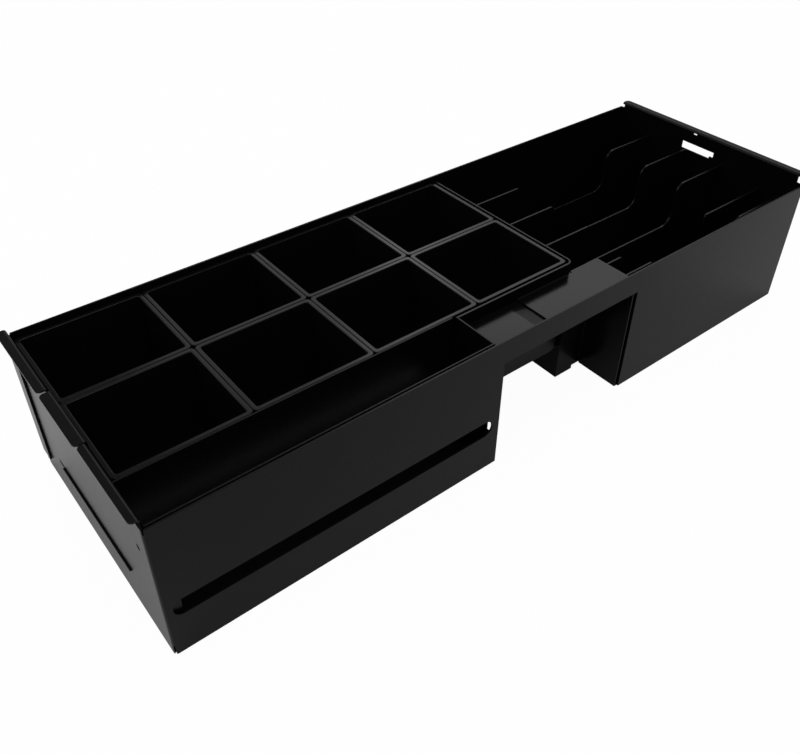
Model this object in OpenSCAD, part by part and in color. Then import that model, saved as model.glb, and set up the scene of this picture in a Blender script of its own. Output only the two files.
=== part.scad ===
// Insert tray of a flip-top cash drawer: folded sheet shell, lift-out coin cups, upright note dividers.
// Sizes are worked out from the left, front, bottom corner of the shell and then centred on the origin.

/* [Shell] */
// Length over the outer faces of the two ends
tray_l = 450; // [420:1:520]
// Width over the outer faces of the front and back walls
tray_w = 149; // [144:1:170]
// Height of the front wall
front_h = 83; // [80:0.5:86]
// Height of the back wall
back_h = 86; // [80:0.5:90]
// Height of the two ends
end_h = 89; // [87:0.5:96]
// Thickness of the folded sheet
sheet_t = 1; // [0.8:0.1:1.2]
// Outer radius of the sheet's folds
fold_r = 2; // [1.4:0.1:2.6]

/* [End lips] */
// Reach of the lips beyond the end faces
lip_reach = 4.2; // [3.4:0.1:7]
// Inner radius of the fold under a lip
lip_fold_r = 0.6; // [0.4:0.1:1]
// Radius of the lips' outer corners
lip_corner_r = 2.6; // [1:0.1:2.8]
// Distance of the lips from the front wall's outer face
lip_front_margin = 0.8; // [0.5:0.1:2]
// Distance of the lips from the back wall's outer face
lip_back_margin = 0.4; // [0.2:0.1:2]
// Shortfall of the left end's front lip against the others
front_lip_trim = 0.7; // [0.3:0.1:1.2]
// Middle of the open gap between the left end's back and middle lips, from the front
left_gap_y = 93.2; // [80:0.1:110]
// Middle of the slit between the left end's middle and front lips, from the front
left_slit_y = 52.2; // [40:0.1:65]
// Width of that open gap
lip_gap = 1.8; // [1.2:0.1:4]
// Middle of the small hole under the right end's lip, from the front
right_hole_y = 84.4; // [60:0.1:100]
// Width of that hole
right_hole_w = 3; // [2:0.1:6]
// Height of that hole
right_hole_h = 1.2; // [0.8:0.1:2]
// Width of the slit between lips
lip_slit = 0.6; // [0.4:0.1:1.2]
// Inward set of the left end's middle lip
mid_lip_set = 0.8; // [0.5:0.1:1.2]
// Height of the set part under the middle lip
mid_lip_set_h = 7; // [6:0.5:12]

/* [Slots in the shell] */
// Left end of the front wall's long slot, from the left
long_slot_x = 3.9; // [3:0.1:20]
// Length of the long slot
long_slot_l = 181.3; // [120:0.5:184]
// Height of the long slot
long_slot_h = 9.9; // [6:0.1:12]
// Lower edge of the long slot
long_slot_z = 24; // [16:0.1:40]
// Front edge of the right end's window
window_y = 67.3; // [50:0.1:90]
// Width of the window
window_w = 25.9; // [15:0.1:40]
// Lower edge of the window
window_z = 74.2; // [70:0.1:76]
// Height of the window
window_h = 5.3; // [4.5:0.1:6]
// Width of the stop in the window's lower front corner
window_stop_w = 3; // [1:0.1:6]
// Height of the stop
window_stop_h = 1.5; // [0.5:0.1:3]
// Front end of the slit in the left end that takes the coin shelf's tab
tab_slit_y = 33; // [31:0.5:50]
// Length of the tab slit
tab_slit_l = 85; // [60:0.5:90]
// Height of the tab slit
tab_slit_h = 2.4; // [1.5:0.1:4]
// Diameter of the round hole in the left end
pin_hole_d = 3.2; // [2:0.1:5]
// Distance of the round hole from the front wall's outer face
pin_hole_y = 10.9; // [6:0.1:20]
// Height of the round hole's centre
pin_hole_z = 63.3; // [40:0.1:75]
// Height of the relief slit at the bottom of the folded corners
relief_h = 6; // [3:0.5:10]
// Depth of the relief slit at the top of the folded corners
top_relief_h = 3; // [1:0.5:5]
// Width of the relief slits
relief_w = 0.8; // [0.5:0.1:1.5]
// Length of the notch under the front end of a lip, from the front wall's outer face
lip_notch_w = 5.5; // [2.5:0.1:7]
// Width of the back wall's flange, wrapped round each end
wrap_w = 11.5; // [8:0.5:20]
// Height of the lower edge of that flange
wrap_z = 10.5; // [4:0.5:20]
// Drop of that flange's top below the top of the back wall
wrap_drop = 1; // [0.5:0.1:4]
// Gap between that flange and the end
wrap_gap = 0.1; // [0.1:0.1:0.5]

/* [Lock bay] */
// Left side of the bay, from the left end
bay_x = 190; // [188:0.5:200]
// Width of the bay
bay_w = 101.2; // [95:0.1:110]
// Set of the bay's right wall inside the opening's right edge
bay_right_set = 2.5; // [0:0.1:3]
// Depth of the bay's left part, under the coin cups
bay_d = 72; // [50:1:110]
// Height of the strip of front wall above the bay
lintel_h = 14.3; // [13:0.1:20]
// Depth of the cover's upper face below the top of the front wall
cover_drop = 7; // [6:0.1:10]
// Reach of the cover past the bay's left side
cover_left_lap = 6; // [5:0.5:6]
// Reach of the cover past the bay's right wall
cover_right_lap = 0.2; // [0.1:0.1:5]
// Reach of the cover behind the bay's rear panel, in the note section
cover_rear_lap = 0.5; // [0.2:0.1:6]
// Start of the joggle in the left cover sheet, from the bay's left side
joggle_start = 26.5; // [20:0.1:40]
// Length of the joggle's ramp
joggle_run = 9.2; // [5:0.1:12]
// Length of the lap that lies under the right cover sheet
joggle_lap = 12; // [8:0.5:16]
// Radius at the corner between the right cover sheet and its upright
cover_notch_r = 3; // [1:0.5:5]
// Outer radius of the fold between the right cover sheet and its upright
cover_fold_r = 2; // [1.4:0.2:5]
// Gap between the rear panel and the partition, at the right end of the panel
panel_end_gap = 4.8; // [3:0.1:8]
// Height of the opening in the bay's left wall
pass_h = 11.5; // [8:0.5:13]
// Width of the opening in the bay's left wall
pass_w = 9; // [7:0.5:12]
// Distance of that opening from the front wall's outer face
pass_y = 4; // [3:0.5:8]
// Lower edge of that opening
pass_z = 18.5; // [12:0.5:24]
// Corner radius of that opening
pass_r = 2.5; // [1:0.5:3]

/* [Coin section] */
// Left face of the partition between coins and notes, from the left end
part_x = 267; // [260:0.5:275]
// Radius of the bend where the partition turns into the bay cover's upright
part_bend_r = 4; // [2.5:0.5:6]
// Width of the partition's front flange
part_flange_w = 13; // [9:0.5:16]
// Lap of the right wall's flange behind the partition's flange
flange_lap = 8; // [4:0.5:8]
// Distance of the rear panel's front face from the front wall's outer face
strip_y = 28.8; // [24:0.1:34]
// Upper face of the shelf that carries the coin cups
shelf_z = 25; // [18:0.5:28]
// Length of the shelf's tab through the left end
shelf_tab_l = 78; // [50:1:80]
// Reach of the tab beyond the left end's outer face
shelf_tab_out = 1; // [0.1:0.1:1.5]
// Gap between the front wall and the trough's front panel
trough_gap = 0.9; // [0.5:0.1:2]
// Set of the trough's rear panel behind the bay's rear panel
trough_rear_set = 1.4; // [0.2:0.1:2]
// Gap between the trough's rear panel and its right end
trough_rear_gap = 1.6; // [0.5:0.1:4]
// Extra depth of the slot in the trough's front panel, below the front wall's slot
trough_slot_drop = 3; // [0:0.5:6]
// Gap between the trough and the left end
trough_end_gap = 1; // [0.5:0.1:2]

/* [Coin cups] */
// Cups along the tray
cups_along = 4; // [4:1:4]
// Cups across the tray
cups_across = 2; // [2:1:2]
// Height of a cup
cup_h = 57.6; // [50:0.1:58]
// Gap between two cups
cup_gap = 0.3; // [0.2:0.1:1.5]
// Gap between the cups and the left end
cup_end_gap = 1.1; // [1:0.1:4]
// Gap between the cups and the partition
cup_part_gap = 1.2; // [0.5:0.1:3]
// Gap between the cups and the trough's rear panel
cup_front_gap = 0.2; // [0.2:0.1:1.5]
// Gap between the cups and the back wall
cup_back_gap = 0.8; // [0.4:0.1:2]
// Gap between a cup and the shelf under it
cup_seat_gap = 0.2; // [0.1:0.1:0.5]
// Wall thickness of a cup
cup_wall = 2.4; // [1.2:0.1:2.8]
// Depth of the rim's band
cup_rim_band = 3.2; // [2:0.1:6]
// Inward step under the rim's band
cup_rim_step = 0.5; // [0.3:0.1:1]
// Corner radius of a cup
cup_corner_r = 2.4; // [1.8:0.1:6]
// Inward slope of a cup's walls, from rim to floor
cup_draft = 1.6; // [0.5:0.1:3]
// Radius where a cup's floor meets its walls
cup_floor_r = 8; // [3:0.5:14]

/* [Note dividers] */
// Distance between two note dividers
note_pitch = 30.2; // [27:0.1:33]
// Thickness of a divider
divider_t = 1.2; // [0.8:0.1:1.6]
// Height of a note divider's two raised ends
divider_high = 74; // [65:0.5:80]
// Height of its low middle
divider_low = 45.5; // [30:0.5:55]
// Length of its raised end at the partition
divider_tab_l = 49; // [30:0.5:60]
// Length of its raised end at the right end, up to the upright edge
divider_end_l = 47.5; // [30:0.5:60]
// Radius at the upper outer corners of the raised ends
divider_tab_r = 2.4; // [1:0.1:5]
// Radius at the top of the curve
divider_top_r = 7; // [3:0.1:12]
// Radius at the foot of the curve
divider_foot_r = 8.5; // [3:0.1:14]
// Width of the foot that lies on the floor
divider_foot_w = 8; // [5:0.5:12]
// Depth of the slip dividers' raised ends below the cover's underside
slip_drop = 6.1; // [1:0.1:12]
// Length of the rear slip divider's raised end at the bay
slip_rear_tab_l = 23.3; // [10:0.1:40]
// Length of the rear slip divider's raised end at the right end
slip_rear_end_l = 58; // [40:0.5:70]
// Length of the front slip divider's raised end at the bay
slip_front_tab_l = 33.3; // [10:0.1:40]
// Length of the front slip divider's raised end at the right end
slip_front_end_l = 47; // [40:0.5:70]

/* [Hidden] */
cut = 2;
arc_steps = 8;
hull_facets = 32;
$fn = 48;

steel_dark = [0.13, 0.13, 0.135];
steel_soft = [0.17, 0.17, 0.175];
plastic_black = [0.09, 0.09, 0.095];

fold_in_r = fold_r - sheet_t;
lip_root_z = end_h - sheet_t - lip_fold_r;
floor_top = sheet_t;
end_in_x = tray_l - sheet_t;
back_in_y = tray_w - sheet_t;
bay_x1 = bay_x + bay_w;
right_wall_x = bay_x1 - bay_right_set;
right_wall_x1 = right_wall_x + sheet_t;
cover_z = front_h - cover_drop;
cover_under = cover_z - sheet_t;
cover_left_x = bay_x - cover_left_lap;
cover_right_x = right_wall_x1 + cover_right_lap;
joggle_x = bay_x + joggle_start;
cover_split_x = joggle_x + joggle_run;
part_x1 = part_x + sheet_t;
strip_y1 = strip_y + sheet_t;
panel_x1 = part_x - panel_end_gap;
wrap_top = back_h - wrap_drop;
shelf_under = shelf_z - sheet_t;
trough_x = sheet_t + trough_end_gap;
trough_y = sheet_t + trough_gap;
trough_rear_y = strip_y + trough_rear_set;
trough_y1 = trough_rear_y + sheet_t;
flange_x1 = part_x1 + part_flange_w;
slip_high = cover_under - slip_drop;

cup_field_x = sheet_t + cup_end_gap;
cup_field_y = trough_y1 + cup_front_gap;
cup_pitch_x = (part_x - cup_part_gap - cup_field_x) / cups_along;
cup_pitch_y = (back_in_y - cup_back_gap - cup_field_y) / cups_across;
cup_l = cup_pitch_x - cup_gap;
cup_w = cup_pitch_y - cup_gap;
cup_z = shelf_z + cup_seat_gap;

// Moves a piece from the shell's corner to the middle of the tray's footprint
module placed() {
    translate([-tray_l / 2, -tray_w / 2, 0]) children();
}

// A box between two corners
module box(low, high) {
    translate(low) cube(high - low);
}

// Quarter of a round fold that stands along Z, in the corner x < 0, y < 0 of its centre
module standing_fold(outer_r, inner_r, height) {
    difference() {
        intersection() {
            cylinder(r = outer_r, h = height);
            translate([-outer_r, -outer_r, 0]) cube([outer_r, outer_r, height]);
        }
        translate([0, 0, -cut]) cylinder(r = inner_r, h = height + 2 * cut);
    }
}

// Plan of a rectangle from the origin with two rounded corners at its outer, x = 0 side
module tongue_plan(l, w, r) {
    intersection() {
        square([l, w]);
        union() {
            translate([r, 0]) square([l, w]);
            translate([0, r]) square([l, w - 2 * r]);
            translate([r, r]) circle(r = r);
            translate([r, w - r]) circle(r = r);
        }
    }
}

// Rectangle with four rounded corners, from the origin
module rounded_plan(l, w, r) {
    translate([r, 0]) square([l - 2 * r, w]);
    translate([0, r]) square([l, w - 2 * r]);
    for (x = [r, l - r]) {
        for (y = [r, w - r]) {
            translate([x, y]) circle(r = r);
        }
    }
}

// Lip folded outward over the top of an end, from y0 to y1, with its fold set inward and its edge trimmed
module lip(y0, y1, set, trim) {
    l = y1 - y0;
    reach = lip_reach + set - trim - lip_fold_r;
    translate([set - lip_fold_r, y0, lip_root_z]) {
        rotate([-90, 0, 0]) mirror([1, 0, 0]) standing_fold(lip_fold_r + sheet_t, lip_fold_r, l);
        translate([-reach, 0, lip_fold_r]) linear_extrude(sheet_t) tongue_plan(reach, l, lip_corner_r);
    }
}

// Upright sheet of an end, from the rounded front corner to the back wall's fold
module end_sheet() {
    box([0, fold_r, 0], [sheet_t, tray_w - fold_r, lip_root_z]);
    translate([fold_r, fold_r, 0]) standing_fold(fold_r, fold_in_r, front_h);
}

// Notch that frees the front end of a lip from the sheet below it
module lip_notch() {
    box([-cut, -cut, front_h], [sheet_t + cut, lip_notch_w, lip_root_z]);
}

// Slit through a folded corner, between two heights
module fold_slit(z0, z1) {
    translate([fold_r, fold_r, z0]) rotate([0, 0, 45])
        translate([-fold_r - cut, -relief_w / 2, 0]) cube([fold_r + cut, relief_w, z1 - z0]);
}

// Relief slits through the foot and the top of a folded corner
module corner_relief() {
    fold_slit(-cut, relief_h);
    fold_slit(front_h - top_relief_h, front_h + cut);
}

// Slit or gap between two lips
module lip_cut(y, w) {
    box([-lip_reach - cut, y - w / 2, lip_root_z - sheet_t],
        [mid_lip_set + sheet_t + cut, y + w / 2, end_h + cut]);
}

// The middle of the left end's top edge is set inward before it folds outward
module set_strip(y0, y1) {
    foot = lip_root_z - mid_lip_set_h;
    knee = foot + sheet_t;
    translate([0, y1, 0]) rotate([90, 0, 0]) linear_extrude(y1 - y0)
        polygon([[0, foot], [mid_lip_set, knee], [mid_lip_set, lip_root_z],
            [mid_lip_set + sheet_t, lip_root_z], [mid_lip_set + sheet_t, knee], [sheet_t, foot]]);
}

module left_end() {
    back_y = tray_w - lip_back_margin;
    mid_y0 = left_slit_y + lip_slit / 2;
    mid_y1 = left_gap_y - lip_gap / 2;
    difference() {
        union() {
            difference() {
                end_sheet();
                box([-cut, mid_y0, lip_root_z - mid_lip_set_h], [sheet_t + cut, mid_y1, end_h + cut]);
            }
            set_strip(mid_y0, mid_y1);
            lip(lip_front_margin, left_slit_y - lip_slit / 2, 0, front_lip_trim);
            lip(mid_y0, mid_y1, mid_lip_set, 0);
            lip(left_gap_y + lip_gap / 2, back_y, 0, 0);
        }
        lip_cut(left_gap_y, lip_gap);
        lip_cut(left_slit_y, lip_slit);
        lip_notch();
        corner_relief();
        box([-cut, tab_slit_y, shelf_under],
            [sheet_t + cut, tab_slit_y + tab_slit_l, shelf_under + tab_slit_h]);
        translate([-cut, pin_hole_y, pin_hole_z]) rotate([0, 90, 0])
            cylinder(d = pin_hole_d, h = sheet_t + 2 * cut);
    }
}

// The right end, written as a left end and mirrored into place
module right_end() {
    translate([tray_l, 0, 0]) mirror([1, 0, 0]) difference() {
        union() {
            end_sheet();
            lip(lip_front_margin, tray_w - lip_back_margin, 0, 0);
        }
        box([-cut, right_hole_y - right_hole_w / 2, lip_root_z - right_hole_h],
            [sheet_t + cut, right_hole_y + right_hole_w / 2, lip_root_z]);
        lip_notch();
        corner_relief();
        difference() {
            box([-cut, window_y, window_z], [sheet_t + cut, window_y + window_w, window_z + window_h]);
            box([-2 * cut, window_y - cut, window_z - cut],
                [sheet_t + 2 * cut, window_y + window_stop_w, window_z + window_stop_h]);
        }
    }
}

// Long slot with round ends, as a cutter through the front wall
module long_slot() {
    r = long_slot_h / 2;
    x0 = long_slot_x + r;
    x1 = long_slot_x + long_slot_l - r;
    translate([0, -cut, 0]) {
        for (x = [x0, x1]) {
            translate([x, 0, long_slot_z + r]) rotate([-90, 0, 0]) cylinder(r = r, h = sheet_t + 2 * cut);
        }
        box([x0, 0, long_slot_z], [x1, sheet_t + 2 * cut, long_slot_z + long_slot_h]);
    }
}

// The slot behind it in the trough's front panel, which is deeper and runs out at the panel's right end
module trough_slot() {
    x0 = long_slot_x + long_slot_h / 2;
    low = long_slot_z - trough_slot_drop;
    box([x0, -cut, low], [cover_left_x - sheet_t, trough_y + sheet_t + cut, long_slot_z + long_slot_h]);
}

// Front wall and both ends, folded from one sheet
module outer_wall() {
    color(steel_dark) placed() {
        difference() {
            box([fold_r, 0, 0], [tray_l - fold_r, sheet_t, front_h]);
            long_slot();
            box([bay_x, -cut, -cut], [bay_x1, sheet_t + cut, front_h - lintel_h]);
        }
        left_end();
        right_end();
    }
}

// End of the back wall, wrapped round the left end above wrap_z
module back_wrap() {
    x = -wrap_gap - sheet_t;
    box([x, tray_w - wrap_w, wrap_z], [-wrap_gap, tray_w - fold_r, wrap_top]);
    translate([x + fold_r, tray_w - fold_r, wrap_z]) mirror([0, 1, 0])
        standing_fold(fold_r, fold_in_r, wrap_top - wrap_z);
    box([x + fold_r, back_in_y, wrap_z], [fold_r, tray_w, wrap_top]);
}

// Floor and back wall, folded from one sheet, with the floor cut away for the bay
module base_pan() {
    color(steel_dark) placed() {
        difference() {
            union() {
                box([sheet_t, sheet_t, 0], [end_in_x, tray_w - fold_r, sheet_t]);
                box([0, back_in_y, fold_r], [tray_l, tray_w, wrap_z]);
                box([fold_r, back_in_y, wrap_z], [tray_l - fold_r, tray_w, back_h]);
                translate([sheet_t, tray_w - fold_r, fold_r]) rotate([0, 90, 0]) rotate([0, 0, 180])
                    standing_fold(fold_r, fold_in_r, end_in_x - sheet_t);
            }
            box([bay_x - sheet_t, -cut, -cut], [right_wall_x1, strip_y1 + sheet_t, fold_r + cut]);
            box([bay_x - sheet_t, -cut, -cut], [part_x1, bay_d + sheet_t, fold_r + cut]);
        }
        back_wrap();
        translate([tray_l, 0, 0]) mirror([1, 0, 0]) back_wrap();
    }
}

// Raised floor under the coin cups, with a tab through the left end
module coin_shelf() {
    tab_y = tab_slit_y + sheet_t;
    color(steel_dark) placed() {
        box([sheet_t, trough_y1, shelf_under], [part_x, back_in_y, shelf_z]);
        box([cover_left_x, strip_y1, shelf_under], [part_x, trough_y1, shelf_z]);
        box([-shelf_tab_out, tab_y, shelf_under], [sheet_t, tab_y + shelf_tab_l, shelf_z]);
    }
}

// Open trough behind the front wall: a channel with a closed right end
module storage_trough() {
    wall_x = cover_left_x - sheet_t;
    rear_x1 = wall_x - trough_rear_gap;
    color(steel_dark) placed() difference() {
        union() {
            box([trough_x, trough_y, floor_top], [cover_left_x, trough_y1, floor_top + sheet_t]);
            box([trough_x, trough_y, floor_top + sheet_t], [cover_left_x, trough_y + sheet_t, front_h]);
            box([trough_x, trough_rear_y, floor_top + sheet_t], [rear_x1, trough_y1, front_h]);
            box([wall_x, trough_y + sheet_t, floor_top + sheet_t], [cover_left_x, trough_rear_y, front_h]);
        }
        trough_slot();
    }
}

// Left side of the bay, full height in front and under the shelf behind
module bay_left_wall() {
    color(steel_soft) placed() difference() {
        union() {
            box([bay_x - sheet_t, sheet_t, 0], [bay_x, strip_y, cover_under]);
            box([bay_x - sheet_t, strip_y, 0], [bay_x, bay_d, shelf_under]);
        }
        translate([bay_x - sheet_t - cut, pass_y, pass_z]) rotate([90, 0, 90])
            linear_extrude(sheet_t + 2 * cut) rounded_plan(pass_w, pass_h, pass_r);
    }
}

// Right side of the bay, with a flange behind the partition's flange
module bay_right_wall() {
    color(steel_soft) placed() {
        box([right_wall_x, sheet_t, 0], [right_wall_x1, strip_y1, cover_under]);
        box([flange_x1 - flange_lap, strip_y1, sheet_t], [right_wall_x1, strip_y1 + sheet_t, cover_under]);
    }
}

// Back of the bay's deep part, under the shelf
module bay_end_wall() {
    color(steel_soft) placed() box([bay_x - sheet_t, bay_d, 0], [part_x, bay_d + sheet_t, shelf_under]);
}

// Panel between the bay and the coin cups, from the shelf up to the cover
module bay_rear_panel() {
    color(steel_soft) placed() difference() {
        box([bay_x, strip_y, shelf_under], [panel_x1, strip_y1, cover_under]);
        translate([panel_x1 - part_bend_r, strip_y - cut, shelf_under + part_bend_r]) difference() {
            translate([0, 0, -part_bend_r - cut])
                cube([part_bend_r + cut, sheet_t + 2 * cut, part_bend_r + cut]);
            rotate([-90, 0, 0]) cylinder(r = part_bend_r, h = sheet_t + 2 * cut);
        }
    }
}

// Left sheet of the bay's cover as a profile along the tray, joggled down by its own thickness
module joggled_profile() {
    lap_x = cover_split_x + joggle_lap;
    low_under = cover_under - sheet_t;
    polygon([[cover_left_x, cover_z], [joggle_x, cover_z], [cover_split_x, cover_under],
        [lap_x, cover_under], [lap_x, low_under], [cover_split_x, low_under],
        [joggle_x, cover_under], [cover_left_x, cover_under]]);
}

// Left sheet of the bay's cover, which slides under the right sheet
module bay_cover_left() {
    color(steel_soft) placed() translate([0, strip_y, 0]) rotate([90, 0, 0])
        linear_extrude(strip_y - sheet_t) joggled_profile();
}

// Right sheet of the bay's cover, with the upright that keeps the coin cups in place
module bay_cover_right() {
    upright_x1 = part_x1 - part_bend_r;
    fold_l = upright_x1 - cover_split_x;
    fold_y = strip_y1 - cover_fold_r;
    fold_z = cover_under + cover_fold_r;
    color(steel_soft) placed() {
        box([cover_split_x, sheet_t, cover_under], [cover_right_x, fold_y, cover_z]);
        box([upright_x1, fold_y, cover_under], [cover_right_x, strip_y, cover_z]);
        box([part_x1, strip_y, cover_under], [cover_right_x, strip_y1 + cover_rear_lap, cover_z]);
        translate([cover_split_x, fold_y, fold_z]) rotate([0, 90, 0]) rotate([0, 0, 180])
            standing_fold(cover_fold_r, cover_fold_r - sheet_t, fold_l);
        box([cover_split_x, strip_y, fold_z], [upright_x1, strip_y1, front_h]);
        box([cover_left_x, strip_y, cover_under], [cover_split_x, strip_y1, front_h]);
        difference() {
            translate([cover_split_x - cover_notch_r, strip_y - cover_notch_r, cover_under]) difference() {
                cube([cover_notch_r, cover_notch_r, sheet_t]);
                translate([0, 0, -cut]) cylinder(r = cover_notch_r, h = sheet_t + 2 * cut);
            }
            translate([0, strip_y + cut, 0]) rotate([90, 0, 0]) linear_extrude(strip_y) joggled_profile();
        }
    }
}

// Partition between coins and notes, with a flange at the bay and a bend towards the upright
module section_partition() {
    bend_y = strip_y + part_bend_r;
    color(steel_dark) placed() {
        box([part_x, strip_y1, 0], [part_x1, bay_d + sheet_t, shelf_under]);
        box([part_x, bay_d + sheet_t, sheet_t], [part_x1, back_in_y, shelf_under]);
        box([part_x, strip_y1, shelf_under], [part_x1, back_in_y, cover_under]);
        box([part_x, bend_y, cover_under], [part_x1, back_in_y, front_h]);
        box([part_x, strip_y, 0], [flange_x1, strip_y1, cover_under]);
        translate([part_x1 - part_bend_r, bend_y, cover_under]) mirror([1, 0, 0])
            standing_fold(part_bend_r, part_bend_r - sheet_t, front_h - cover_under);
    }
}

// Points on an arc about a centre, between two angles
function arc(cx, cz, r, a0, a1) = [
    for (i = [0:arc_steps])
        let (a = a0 + (a1 - a0) * i / arc_steps) [cx + r * cos(a), cz + r * sin(a)]
];

// Outline of a divider, from x0 to x1: raised at both ends, low in the middle, with a rounded rise
function divider_outline(x0, x1, high, low, tab_l, end_l, tab_r, top_r, foot_r) = concat(
    [[x0, floor_top], [x0, high]],
    arc(x0 + tab_l - tab_r, high - tab_r, tab_r, 90, 0),
    arc(x0 + tab_l + tab_r, low + tab_r, tab_r, 180, 270),
    arc(x1 - end_l - foot_r, low + foot_r, foot_r, 270, 360),
    arc(x1 - end_l + top_r, high - top_r, top_r, 180, 90),
    [[x1, high], [x1, floor_top]]);

// Divider on edge with its foot on the floor, its sheet centred on y
module divider(y, x0, x1, high, tab_l, end_l, tab_r, top_r, foot_r) {
    color(steel_dark) placed() {
        translate([0, y + divider_t / 2, 0]) rotate([90, 0, 0]) linear_extrude(divider_t)
            polygon(divider_outline(x0, x1, high, divider_low, tab_l, end_l, tab_r, top_r, foot_r));
        box([x0, y + divider_t / 2, floor_top],
            [x1, y + divider_t / 2 + divider_foot_w, floor_top + divider_t]);
    }
}

// Note dividers are counted from the front
module note_divider(i) {
    divider(strip_y + sheet_t / 2 + i * note_pitch, part_x1, end_in_x, divider_high,
        divider_tab_l, divider_end_l, divider_tab_r, divider_top_r, divider_foot_r);
}

module slip_divider_rear() {
    divider(strip_y + sheet_t / 2, right_wall_x1, end_in_x, slip_high, slip_rear_tab_l, slip_rear_end_l,
        divider_tab_r, divider_tab_r, divider_tab_r);
}

module slip_divider_front() {
    divider((strip_y + sheet_t) / 2, right_wall_x1, end_in_x, slip_high, slip_front_tab_l, slip_front_end_l,
        divider_tab_r, divider_top_r, divider_foot_r);
}

// Slab of a cup at one height: its plan set in by a margin all round
module cup_slab(set, z, thick, r) {
    translate([set, set, z]) linear_extrude(thick)
        rounded_plan(cup_l - 2 * set, cup_w - 2 * set, r, $fn = hull_facets);
}

// One coin cup in its own corner: sloping walls, a rim band, a round cove at the floor
module cup_body() {
    skin = sheet_t / 10;
    body_set = cup_rim_step;
    cove = cup_floor_r;
    difference() {
        union() {
            cup_slab(0, cup_h - cup_rim_band, cup_rim_band, cup_corner_r);
            hull() {
                cup_slab(body_set, cup_h - cup_rim_band - skin, skin, cup_corner_r);
                cup_slab(body_set + cup_draft, 0, skin, cup_corner_r);
            }
        }
        hull() {
            cup_slab(cup_wall, cup_h, cut, cup_corner_r - cup_wall / 2);
            for (i = [0:arc_steps]) {
                a = 90 * i / arc_steps;
                cup_slab(cup_wall + cup_draft + cove * (1 - cos(a)), cup_wall + cove * (1 - sin(a)), skin,
                    cup_corner_r);
            }
        }
    }
}

// Cups 1 to 4 stand in front, from the left, and cups 5 to 8 behind them
module coin_cup(i) {
    x = cup_field_x + cup_gap / 2 + (i % cups_along) * cup_pitch_x;
    y = cup_field_y + cup_gap / 2 + floor(i / cups_along) * cup_pitch_y;
    color(plastic_black) placed() translate([x, y, cup_z]) cup_body();
}

outer_wall();
base_pan();
coin_shelf();
storage_trough();
bay_left_wall();
bay_right_wall();
bay_end_wall();
bay_rear_panel();
bay_cover_left();
bay_cover_right();
section_partition();
note_divider(1);  // note_divider_1
note_divider(2);  // note_divider_2
note_divider(3);  // note_divider_3
slip_divider_rear();
slip_divider_front();
coin_cup(0);  // coin_cup_1
coin_cup(1);  // coin_cup_2
coin_cup(2);  // coin_cup_3
coin_cup(3);  // coin_cup_4
coin_cup(4);  // coin_cup_5
coin_cup(5);  // coin_cup_6
coin_cup(6);  // coin_cup_7
coin_cup(7);  // coin_cup_8
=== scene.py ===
# %% [markdown]
# # A cash register tray, finished in Blender
# The tray is folded from black sheet steel. Eight plastic coin cups stand in it at the left, and upright
# dividers make the banknote compartments at the right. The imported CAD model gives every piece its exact
# place, so this lesson only softens the edges, shapes the moulded cups, and gives each surface its finish.

# %% Load the frame
import math

import bmesh
import bpy
from mathutils import Euler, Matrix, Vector


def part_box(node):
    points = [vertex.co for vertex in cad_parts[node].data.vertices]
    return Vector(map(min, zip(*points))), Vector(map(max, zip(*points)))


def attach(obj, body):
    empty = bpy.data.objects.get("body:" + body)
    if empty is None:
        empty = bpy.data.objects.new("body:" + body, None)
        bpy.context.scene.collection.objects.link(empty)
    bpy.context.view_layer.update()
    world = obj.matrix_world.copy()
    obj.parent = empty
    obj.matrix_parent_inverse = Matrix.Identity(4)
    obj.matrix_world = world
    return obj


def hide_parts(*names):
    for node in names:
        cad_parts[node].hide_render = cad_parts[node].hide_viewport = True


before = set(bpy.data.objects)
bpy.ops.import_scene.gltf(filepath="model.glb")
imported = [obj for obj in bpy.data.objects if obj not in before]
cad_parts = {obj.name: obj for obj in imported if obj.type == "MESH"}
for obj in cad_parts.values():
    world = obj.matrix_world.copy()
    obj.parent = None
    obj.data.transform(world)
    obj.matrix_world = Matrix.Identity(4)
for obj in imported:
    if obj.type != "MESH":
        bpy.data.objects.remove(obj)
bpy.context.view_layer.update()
scene = bpy.context.scene
MM = 0.001

# %% [markdown]
# ## The camera
# The picture looks down at the tray's front left corner. A lens of about 39 mm on a 36 mm sensor gives the
# same convergence of the long edges. The small shift only centres the tray in the frame.

# %% Camera
CAMERA_PLACE = Vector((-279.10, -299.17, 340.19)) * MM
CAMERA_TURN = Euler([math.radians(a) for a in (51.513, -0.519, -38.464)])
CAMERA_LENS = 38.714
CAMERA_SHIFT = (-0.0076, -0.0391)
SENSOR_WIDTH = 36
NEAREST = 0.01

camera_data = bpy.data.cameras.new("camera")
camera_data.lens = CAMERA_LENS
camera_data.sensor_width = SENSOR_WIDTH
camera_data.shift_x, camera_data.shift_y = CAMERA_SHIFT
camera_data.clip_start = NEAREST
camera = bpy.data.objects.new("camera", camera_data)
camera.location = CAMERA_PLACE
camera.rotation_euler = CAMERA_TURN
scene.collection.objects.link(camera)
scene.camera = camera
print("camera at", *camera.location, "lens", camera_data.lens)

# %% [markdown]
# ## Writing materials as sums
# A material is a small graph of nodes. Wrapping a socket in a class that understands + and * lets the graph
# be written the way its maths reads, and one method adds any other node from its settings and inputs.

# %% A socket that can be calculated with
class Wire:
    """One output socket. Arithmetic on it adds Math nodes to the same material."""

    def __init__(self, shop, socket):
        self.shop, self.socket = shop, socket

    def _math(self, operation, first, second):
        return self.shop.node("ShaderNodeMath", {"operation": operation}, {0: first, 1: second})[0]

    def __add__(self, other):
        return self._math("ADD", self, other)

    def __radd__(self, other):
        return self._math("ADD", other, self)

    def __mul__(self, other):
        return self._math("MULTIPLY", self, other)

    def __rmul__(self, other):
        return self._math("MULTIPLY", other, self)

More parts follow.
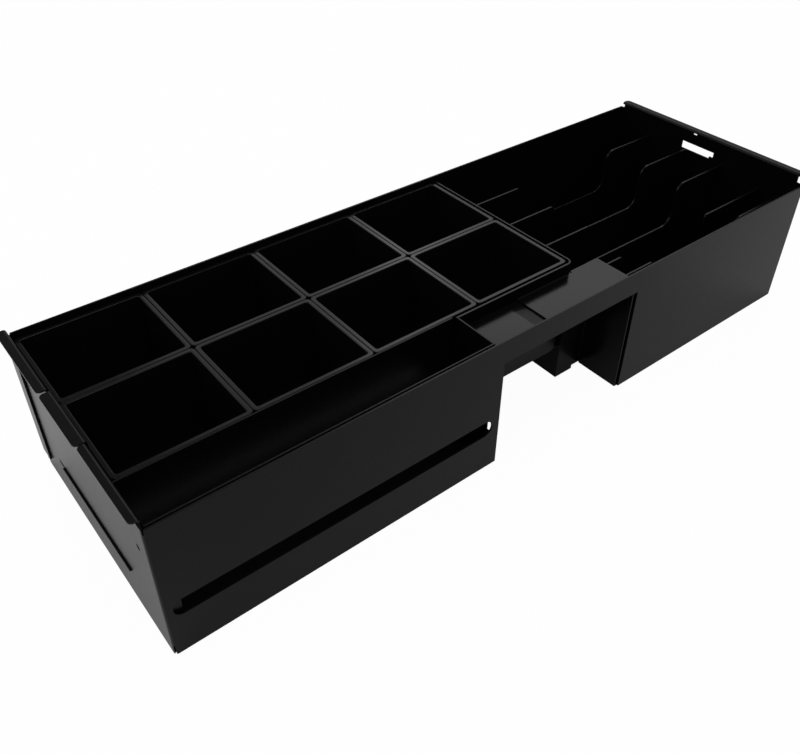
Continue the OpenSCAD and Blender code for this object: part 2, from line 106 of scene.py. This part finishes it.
# %% A node tree that builds itself
class Shop:
    """The node tree of one material or of the world."""

    def __init__(self, owner):
        owner.use_nodes = True
        self.tree = owner.node_tree
        self.tree.nodes.clear()

    def node(self, kind, settings=None, inputs=None):
        """Adds a node: its settings first, then the values or wires of its inputs. Returns its outputs."""
        made = self.tree.nodes.new(kind)
        for name, value in (settings or {}).items():
            if name == "stops":
                for stop, (place, grey) in zip(made.color_ramp.elements, value):
                    stop.position, stop.color = place, (grey, grey, grey, 1)
            else:
                setattr(made, name, value)
        for key, value in (inputs or {}).items():
            if isinstance(value, Wire):
                self.tree.links.new(value.socket, made.inputs[key])
            else:
                made.inputs[key].default_value = value
        return [Wire(self, socket) for socket in made.outputs]

    def finish(self, shader, kind="ShaderNodeOutputMaterial"):
        self.node(kind, {}, {"Surface": shader})


print("node helpers:", Wire.__name__, Shop.__name__)

# %% [markdown]
# ## Black powder coat
# The sheets are sprayed with black powder and baked. The film is almost smooth, with the fine waves that
# makers call orange peel, a millimetre or two across and a few hundredths deep, and a finer grain in the
# gloss. It could be one flat black, but then wide faces look like paper. Here the colour drifts a little
# with the film's thickness, the gloss drifts with it, and two bumps carry the waves and the grain.

# %% Powder coat
DRIFTS_PER_METRE = 14
WAVES_PER_METRE = 650
GRAINS_PER_METRE = 2600
WAVE_DEPTH = 0.05 * MM
GRAIN_DEPTH = 0.01 * MM
FILM_SPREAD = (0.8, 1.25)
DRIFT_IN_ROUGHNESS = 0.06
GRAIN_IN_ROUGHNESS = 0.04
COAT_SHINE = 0.10
COAT_IOR = 1.5
OBJECT_COORDINATES = 3
COLOUR_A, COLOUR_B, MIXED_COLOUR = 6, 7, 2


def noise(shop, place, per_metre, detail, roughness=0.5):
    """A cloudy pattern with about this many spots along a metre."""
    return shop.node("ShaderNodeTexNoise", {}, {
        "Vector": place, "Scale": per_metre, "Detail": detail, "Roughness": roughness})[0]


def mixed(shop, factor, colour, shares):
    """The colour times the first share where the factor is 0, and times the second where it is 1."""
    first, second = [tuple(c * share for c in colour) + (1,) for share in shares]
    return shop.node("ShaderNodeMix", {"data_type": "RGBA"}, {
        "Factor": factor, COLOUR_A: first, COLOUR_B: second})[MIXED_COLOUR]


def powder_coat(name, black, roughness, peel):
    """A black film of this mean roughness, with orange peel of this strength."""
    material = bpy.data.materials.new(name)
    shop = Shop(material)
    place = shop.node("ShaderNodeTexCoord")[OBJECT_COORDINATES]
    drift = noise(shop, place, DRIFTS_PER_METRE, 3, 0.55)
    waves = noise(shop, place, WAVES_PER_METRE, 2, 0.45)
    grain = noise(shop, place, GRAINS_PER_METRE, 2, 0.6)
    colour = mixed(shop, drift, black, FILM_SPREAD)
    smoothest = roughness - (DRIFT_IN_ROUGHNESS + GRAIN_IN_ROUGHNESS) / 2
    rough = smoothest + drift * DRIFT_IN_ROUGHNESS + grain * GRAIN_IN_ROUGHNESS
    peeled = shop.node("ShaderNodeBump", {}, {"Strength": peel, "Distance": WAVE_DEPTH, "Height": waves})[0]
    grained = shop.node("ShaderNodeBump", {}, {"Strength": peel / 2, "Distance": GRAIN_DEPTH, "Height": grain,
                                               "Normal": peeled})[0]
    shader = shop.node("ShaderNodeBsdfPrincipled", {}, {
        "Base Color": colour, "Roughness": rough, "Normal": grained,
        "IOR": COAT_IOR, "Specular IOR Level": COAT_SHINE})[0]
    shop.finish(shader)
    return material


# %% The two coats
SHELL_BLACK = (0.0026, 0.0026, 0.0027)
SHELL_ROUGHNESS = 0.27
SHELL_PEEL = 0.3
BAY_BLACK = (0.0024, 0.0024, 0.0025)
BAY_ROUGHNESS = 0.20
BAY_PEEL = 0.25
shell_coat = powder_coat("shell_coat", SHELL_BLACK, SHELL_ROUGHNESS, SHELL_PEEL)
bay_coat = powder_coat("bay_coat", BAY_BLACK, BAY_ROUGHNESS, BAY_PEEL)
print("coats:", shell_coat.name, bay_coat.name)

# %% [markdown]
# ## Moulded black plastic
# The cups come out of a polished mould, so they are glossier than the sheets. Coins and fingers leave fine
# dull scuffs. They could be painted on in one place, but here noise that is stretched along the height
# drives the gloss and a slightly lighter black all over, so that no two cups look alike.

# %% Cup plastic
SCUFFS_PER_METRE = 420
SCUFF_STRETCH = (1, 1, 0.15)
PATCHES_PER_METRE = 35
SKIN_PER_METRE = 1500
SKIN_DEPTH = 0.01 * MM
SKIN_STRENGTH = 0.15
MOULD_SPREAD = (0.95, 1.15)
SCUFF_START, SCUFF_FULL = 0.52, 0.72
SCUFF_IN_ROUGHNESS = 0.05
PLASTIC_SHINE = 0.12
PLASTIC_IOR = 1.5
CUP_BLACK = (0.0034, 0.0034, 0.0035)
CUP_ROUGHNESS = 0.20


def cup_plastic(name, black, roughness):
    """A glossy black of this roughness where it isn't scuffed."""
    material = bpy.data.materials.new(name)
    shop = Shop(material)
    place = shop.node("ShaderNodeTexCoord")[OBJECT_COORDINATES]
    streaks = shop.node("ShaderNodeMapping", {}, {"Vector": place, "Scale": SCUFF_STRETCH})[0]
    scuffs = noise(shop, streaks, SCUFFS_PER_METRE, 5, 0.7)
    patches = noise(shop, place, PATCHES_PER_METRE, 2)
    stops = [(SCUFF_START, 0), (SCUFF_FULL, 1)]
    worn = shop.node("ShaderNodeValToRGB", {"stops": stops}, {"Fac": scuffs})[0] * patches
    skin = noise(shop, place, SKIN_PER_METRE, 2)
    colour = mixed(shop, worn, black, MOULD_SPREAD)
    bump = shop.node("ShaderNodeBump", {}, {
        "Strength": SKIN_STRENGTH, "Distance": SKIN_DEPTH, "Height": skin})[0]
    shader = shop.node("ShaderNodeBsdfPrincipled", {}, {
        "Base Color": colour, "Roughness": roughness + worn * SCUFF_IN_ROUGHNESS, "Normal": bump,
        "IOR": PLASTIC_IOR, "Specular IOR Level": PLASTIC_SHINE})[0]
    shop.finish(shader)
    return material


cup_finish = cup_plastic("cup_finish", CUP_BLACK, CUP_ROUGHNESS)
print("plastic:", cup_finish.name)

# %% [markdown]
# ## Sheet pieces with softened edges
# A laser-cut sheet is deburred before it is coated, and the film rounds its edges further, so no edge is
# knife sharp: each catches a hairline of light. The CAD solids have the right shapes but sharp edges.
# Modelling them all again would risk their fit, so each is copied, its loose triangles are merged, flat
# areas are dissolved to single faces, and every sharp edge gets a narrow bevel. The dividers' edges are
# rounded less, because their flat tops draw the light lines. The ramp in the left cover sheet is so shallow
# that its edges only count as sharp from 4 degrees.

# %% Soften a copy of a CAD node
EDGE_ROUND = 0.22 * MM
EDGE_SEGMENTS = 3
MERGE_DISTANCE = 0.002 * MM
FLAT = math.radians(0.4)
SHARP = math.radians(28)
WIDE_FACES_ONLY = 100


def merged_copy(node):
    """The node's own mesh as one closed surface with flat faces."""
    shape = bmesh.new()
    shape.from_mesh(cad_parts[node].data)
    bmesh.ops.remove_doubles(shape, verts=shape.verts, dist=MERGE_DISTANCE)
    bmesh.ops.dissolve_limit(shape, angle_limit=FLAT, verts=shape.verts, edges=shape.edges)
    return shape


def bevel_edges(shape, edges, radius, segments):
    bmesh.ops.bevel(shape, geom=edges, offset=radius, offset_type="OFFSET", affect="EDGES", segments=segments,
                    profile=0.5, material=-1, clamp_overlap=True)


def finished_piece(name, shape, material):
    """Makes an object of the shape, smooth shaded with its wide faces kept flat."""
    mesh = bpy.data.meshes.new(name)
    for face in shape.faces:
        face.smooth = True
    shape.to_mesh(mesh)
    shape.free()
    mesh.materials.append(material)
    piece = bpy.data.objects.new(name, mesh)
    scene.collection.objects.link(piece)
    keep_flat = piece.modifiers.new("keep_flat", "WEIGHTED_NORMAL")
    keep_flat.weight = WIDE_FACES_ONLY
    return piece


# %% Soften one sheet
def softened_sheet(node, material, edge_round=EDGE_ROUND, sharp_angle=SHARP):
    shape = merged_copy(node)
    sharp = [e for e in shape.edges if e.is_manifold and e.calc_face_angle(0) > sharp_angle]
    bevel_edges(shape, sharp, edge_round, EDGE_SEGMENTS)
    piece = finished_piece(node + "_coated", shape, material)
    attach(piece, "tray")
    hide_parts(node)
    print(f"{piece.name}: {len(sharp)} edges softened, {len(piece.data.polygons)} faces")
    return piece


# %% Coat the shell and the dividers
SHELL_NODES = ["outer_wall", "base_pan", "coin_shelf", "storage_trough", "section_partition"]
DIVIDER_NODES = ["note_divider_1", "note_divider_2", "note_divider_3", "slip_divider_rear",
                 "slip_divider_front"]
BAY_NODES = ["bay_left_wall", "bay_right_wall", "bay_end_wall", "bay_rear_panel", "bay_cover_left",
             "bay_cover_right"]
DIVIDER_ROUND = 0.12 * MM
JOGGLE_ANGLE = math.radians(4)
for node in SHELL_NODES:
    softened_sheet(node, shell_coat)
for node in DIVIDER_NODES:
    softened_sheet(node, shell_coat, DIVIDER_ROUND)
for node in BAY_NODES:
    sharp_angle = JOGGLE_ANGLE if node == "bay_cover_left" else SHARP
    softened_sheet(node, bay_coat, EDGE_ROUND, sharp_angle)

# %% [markdown]
# ## Coin cups
# A cup is a thin moulded box. Its rim is a slightly wider band that stiffens it, and below the band its
# walls lean inward so that it leaves the mould. It could be lofted through a stack of outlines, but a block
# is less to write: its uprights are rounded, two plane cuts mark the band's lower edge, and the rings of
# points below it are set in.

# %% Cup sizes
CUP_CORNER = 2.4 * MM
CUP_INNER_CORNER = 1.2 * MM
CUP_WALL = 2.4 * MM
CUP_BAND = 3.2 * MM
CUP_STEP = 0.5 * MM
CUP_LEAN = 1.6 * MM
CORNER_SEGMENTS = 7
SAME_HEIGHT = 0.01 * MM
CUT_TOLERANCE = 0.001 * MM


# %% Rings of points
def set_in(shape, verts, centre, size, distance):
    """Moves a ring of points inward by a distance on all four sides."""
    factor = Vector((1 - 2 * distance / size.x, 1 - 2 * distance / size.y, 1))
    bmesh.ops.translate(shape, vec=-centre, verts=verts)
    bmesh.ops.scale(shape, vec=factor, verts=verts)
    bmesh.ops.translate(shape, vec=centre, verts=verts)


def ring_at(shape, height):
    return [v for v in shape.verts if abs(v.co.z - height) < SAME_HEIGHT]


# %% The outside of a cup
def cup_block(low, high, band_z):
    """A block with rounded uprights and a band round its top."""
    size, centre = high - low, (low + high) / 2
    shape = bmesh.new()
    bmesh.ops.create_cube(shape, size=1)
    bmesh.ops.scale(shape, vec=size, verts=shape.verts)
    bmesh.ops.translate(shape, vec=centre, verts=shape.verts)
    uprights = [e for e in shape.edges if abs(e.verts[0].co.z - e.verts[1].co.z) > size.z / 2]
    bevel_edges(shape, uprights, CUP_CORNER, CORNER_SEGMENTS)
    for height in (band_z, band_z - CUP_STEP):
        geometry = shape.verts[:] + shape.edges[:] + shape.faces[:]
        bmesh.ops.bisect_plane(shape, geom=geometry, dist=CUT_TOLERANCE, plane_co=(0, 0, height),
                               plane_no=(0, 0, 1))
    set_in(shape, ring_at(shape, band_z - CUP_STEP), centre, size, CUP_STEP)
    set_in(shape, ring_at(shape, low.z), centre, size, CUP_STEP + CUP_LEAN)
    return shape


# %% [markdown]
# ## The inside of a cup
# The floor sweeps up into the walls so that coins slide out under a fingertip. A hollow could be cut with a
# second block, but the top face is already there to be worked on. An inset as wide as the corners shrink
# keeps them round, the ring is then set in to the wall's thickness, and each extrusion takes the face
# further down and in, along the quarter circle of the sweep.

# %% Sink the inside
CUP_SWEEP = 8.0 * MM
SWEEP_STEPS = 7


def sink_inside(shape, low, high):
    """Takes the top face down to the floor, with the wall's lean and the sweep at its foot."""
    size, centre = high - low, (low + high) / 2
    shape.faces.ensure_lookup_table()
    inside = max(shape.faces, key=lambda f: f.calc_center_median().z)
    first_inset = CUP_CORNER - CUP_INNER_CORNER
    bmesh.ops.inset_region(shape, faces=[inside], thickness=first_inset, use_even_offset=True)
    ring_size = size - Vector((2, 2, 0)) * first_inset
    set_in(shape, inside.verts[:], centre, ring_size, CUP_WALL - first_inset)
    floor_z = low.z + CUP_WALL
    drops = [(floor_z + CUP_SWEEP, CUP_WALL + CUP_LEAN)]
    for step in range(1, SWEEP_STEPS + 1):
        turn = math.pi / 2 * step / SWEEP_STEPS
        drops.append((floor_z + CUP_SWEEP * (1 - math.sin(turn)),
                      CUP_WALL + CUP_LEAN + CUP_SWEEP * (1 - math.cos(turn))))
    depth_before, inset_before = high.z, CUP_WALL
    for height, inset in drops:
        grown = bmesh.ops.extrude_face_region(shape, geom=[inside])["geom"]
        bmesh.ops.delete(shape, geom=[inside], context="FACES_ONLY")
        inside = [g for g in grown if isinstance(g, bmesh.types.BMFace)][0]
        ring = inside.verts[:]
        bmesh.ops.translate(shape, vec=(0, 0, height - depth_before), verts=ring)
        ring_size = size - Vector((2, 2, 0)) * inset_before
        set_in(shape, ring, centre, ring_size, inset - inset_before)
        depth_before, inset_before = height, inset


# %% [markdown]
# ## The cup's edges
# No moulded edge is sharp. The rim could have one rounding all round, but its inner side, where fingers go
# in, has the larger one, and that draws the light line round the mouth. The edges are picked by their
# height and by how far out they lie, so each gets its own radius.

# %% Round the edges
RIM_INNER_ROUND = 0.5 * MM
RIM_INNER_SEGMENTS = 4
RIM_OUTER_ROUND = 0.25 * MM
RIM_OUTER_SEGMENTS = 3
BAND_ROUND = 0.2 * MM
BAND_SEGMENTS = 2
FOOT_ROUND = 1.2 * MM
FOOT_SEGMENTS = 3


def round_cup(shape, low, high, band_z):
    """Rounds the rim, more on its inner side, and then the band's lower edge and the foot."""
    reach, centre = (high - low) / 2, (low + high) / 2

    def loop(height):
        return [e for e in shape.edges if all(abs(v.co.z - height) < SAME_HEIGHT for v in e.verts)
                and e.calc_face_angle(0) > SHARP]

    def on_outside(edge):
        middle = (edge.verts[0].co + edge.verts[1].co) / 2 - centre
        return abs(middle.x) > reach.x - CUP_WALL / 2 or abs(middle.y) > reach.y - CUP_WALL / 2

    inner = [e for e in loop(high.z) if not on_outside(e)]
    bevel_edges(shape, inner, RIM_INNER_ROUND, RIM_INNER_SEGMENTS)
    outer = [e for e in loop(high.z) if on_outside(e)]
    bevel_edges(shape, outer, RIM_OUTER_ROUND, RIM_OUTER_SEGMENTS)
    bevel_edges(shape, loop(band_z), BAND_ROUND, BAND_SEGMENTS)
    bevel_edges(shape, loop(low.z), FOOT_ROUND, FOOT_SEGMENTS)


# %% Make the eight cups
CUP_COUNT = 8
for number in range(1, CUP_COUNT + 1):
    node = f"coin_cup_{number}"
    low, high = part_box(node)
    band_z = high.z - CUP_BAND
    shape = cup_block(low, high, band_z)
    sink_inside(shape, low, high)
    round_cup(shape, low, high, band_z)
    cup = finished_piece(f"cup_{number}_moulding", shape, cup_finish)
    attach(cup, f"cup_{number}")
    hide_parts(node)
    print(f"{cup.name}: {len(cup.data.polygons)} faces, {(high - low).x / MM:.1f} mm along the tray")

# %% [markdown]
# ## Floor, surroundings and light
# Black gloss shows what surrounds it, so the surroundings are the light. The floor and the sky are plain
# white to the camera, and dimmer as light, so that the black stays black. In reflections the floor adds a
# share of that white to its own shaded paper, which keeps the tray's shadow in the gloss. A wide soft lamp
# behind the tray draws the rims and the covers, two more stand further round to the camera's left and draw
# the edges that turn that way, such as the rise of the dividers, and one above the camera's side lights the
# floor and keeps the colours at a plain level.

# %% What is seen directly
def larger(shop, first, second):
    return shop.node("ShaderNodeMath", {"operation": "MAXIMUM"}, {0: first, 1: second})[0]


def seen_directly(shop, in_reflections):
    """1 for rays from the camera, a share for reflected or passed rays, 0 for light on a surface."""
    path = shop.node("ShaderNodeLightPath")
    names = [wire.socket.name for wire in path]
    camera_ray, glossy_ray, through_ray = [path[names.index(n)] for n in (
        "Is Camera Ray", "Is Glossy Ray", "Is Transmission Ray")]
    reflected = larger(shop, glossy_ray, through_ray)
    return larger(shop, camera_ray, reflected * in_reflections)


# %% World
WHITE = (1, 1, 1, 1)
SKY_LIGHT = 0.3
world = bpy.data.worlds.new("studio")
scene.world = world
sky = Shop(world)
sky_strength = SKY_LIGHT + seen_directly(sky, 0) * (1 - SKY_LIGHT)
sky_glow = sky.node("ShaderNodeBackground", {}, {"Color": WHITE, "Strength": sky_strength})[0]
sky.finish(sky_glow, "ShaderNodeOutputWorld")
print("sky light", SKY_LIGHT)

# %% Floor
FLOOR_HALF = 4.0
FLOOR_CELLS = 8
FLOOR_DROP = 0.3 * MM
PAPER_GREY = (0.86, 0.86, 0.86, 1)
GLOW_IN_REFLECTIONS = 0.10
GLOW_SHARE = 0.97
floor_shape = bmesh.new()
bmesh.ops.create_grid(floor_shape, x_segments=FLOOR_CELLS, y_segments=FLOOR_CELLS, size=FLOOR_HALF)
bmesh.ops.translate(floor_shape, vec=(0, 0, -FLOOR_DROP), verts=floor_shape.verts)
floor_mesh = bpy.data.meshes.new("floor")
floor_shape.to_mesh(floor_mesh)
floor_shape.free()
floor = bpy.data.objects.new("floor", floor_mesh)
scene.collection.objects.link(floor)
paper = bpy.data.materials.new("floor_paper")
shop = Shop(paper)
matte = shop.node("ShaderNodeBsdfDiffuse", {}, {"Color": PAPER_GREY})[0]
glow = shop.node("ShaderNodeEmission", {}, {"Color": WHITE, "Strength": 1})[0]
glow_share = seen_directly(shop, GLOW_IN_REFLECTIONS) * GLOW_SHARE
shop.finish(shop.node("ShaderNodeMixShader", {}, {0: glow_share, 1: matte, 2: glow})[0])
floor_mesh.materials.append(paper)
print("floor", FLOOR_HALF * 2, "m square")


# %% Lamps
# Each lamp's place, its width and height, and its radiance
LAMPS = {
    "back_lamp": ((1.075, 0.78, 1.11), (1.0, 0.56), 2.6),
    "side_lamp": ((0.65, 1.33, 1.11), (0.77, 0.77), 1.3),
    "left_lamp": ((-0.94, 0.85, 1.14), (0.9, 0.7), 2.0),
    "top_lamp": ((-0.25, -0.35, 1.75), (1.2, 1.2), 3.5),
}


def soft_lamp(name, place, size, radiance):
    """A rectangular lamp that faces the tray and gives off this radiance."""
    width, height = size
    data = bpy.data.lights.new(name, "AREA")
    data.shape = "RECTANGLE"
    data.size, data.size_y = width, height
    data.energy = radiance * math.pi * width * height
    lamp = bpy.data.objects.new(name, data)
    lamp.location = place
    lamp.rotation_euler = Vector(place).to_track_quat("Z", "Y").to_euler()
    scene.collection.objects.link(lamp)
    print(f"{name}: {data.energy:.1f} W")


for name, (place, size, radiance) in LAMPS.items():
    soft_lamp(name, place, size, radiance)

# %% Close
scene.view_settings.view_transform = "Standard"
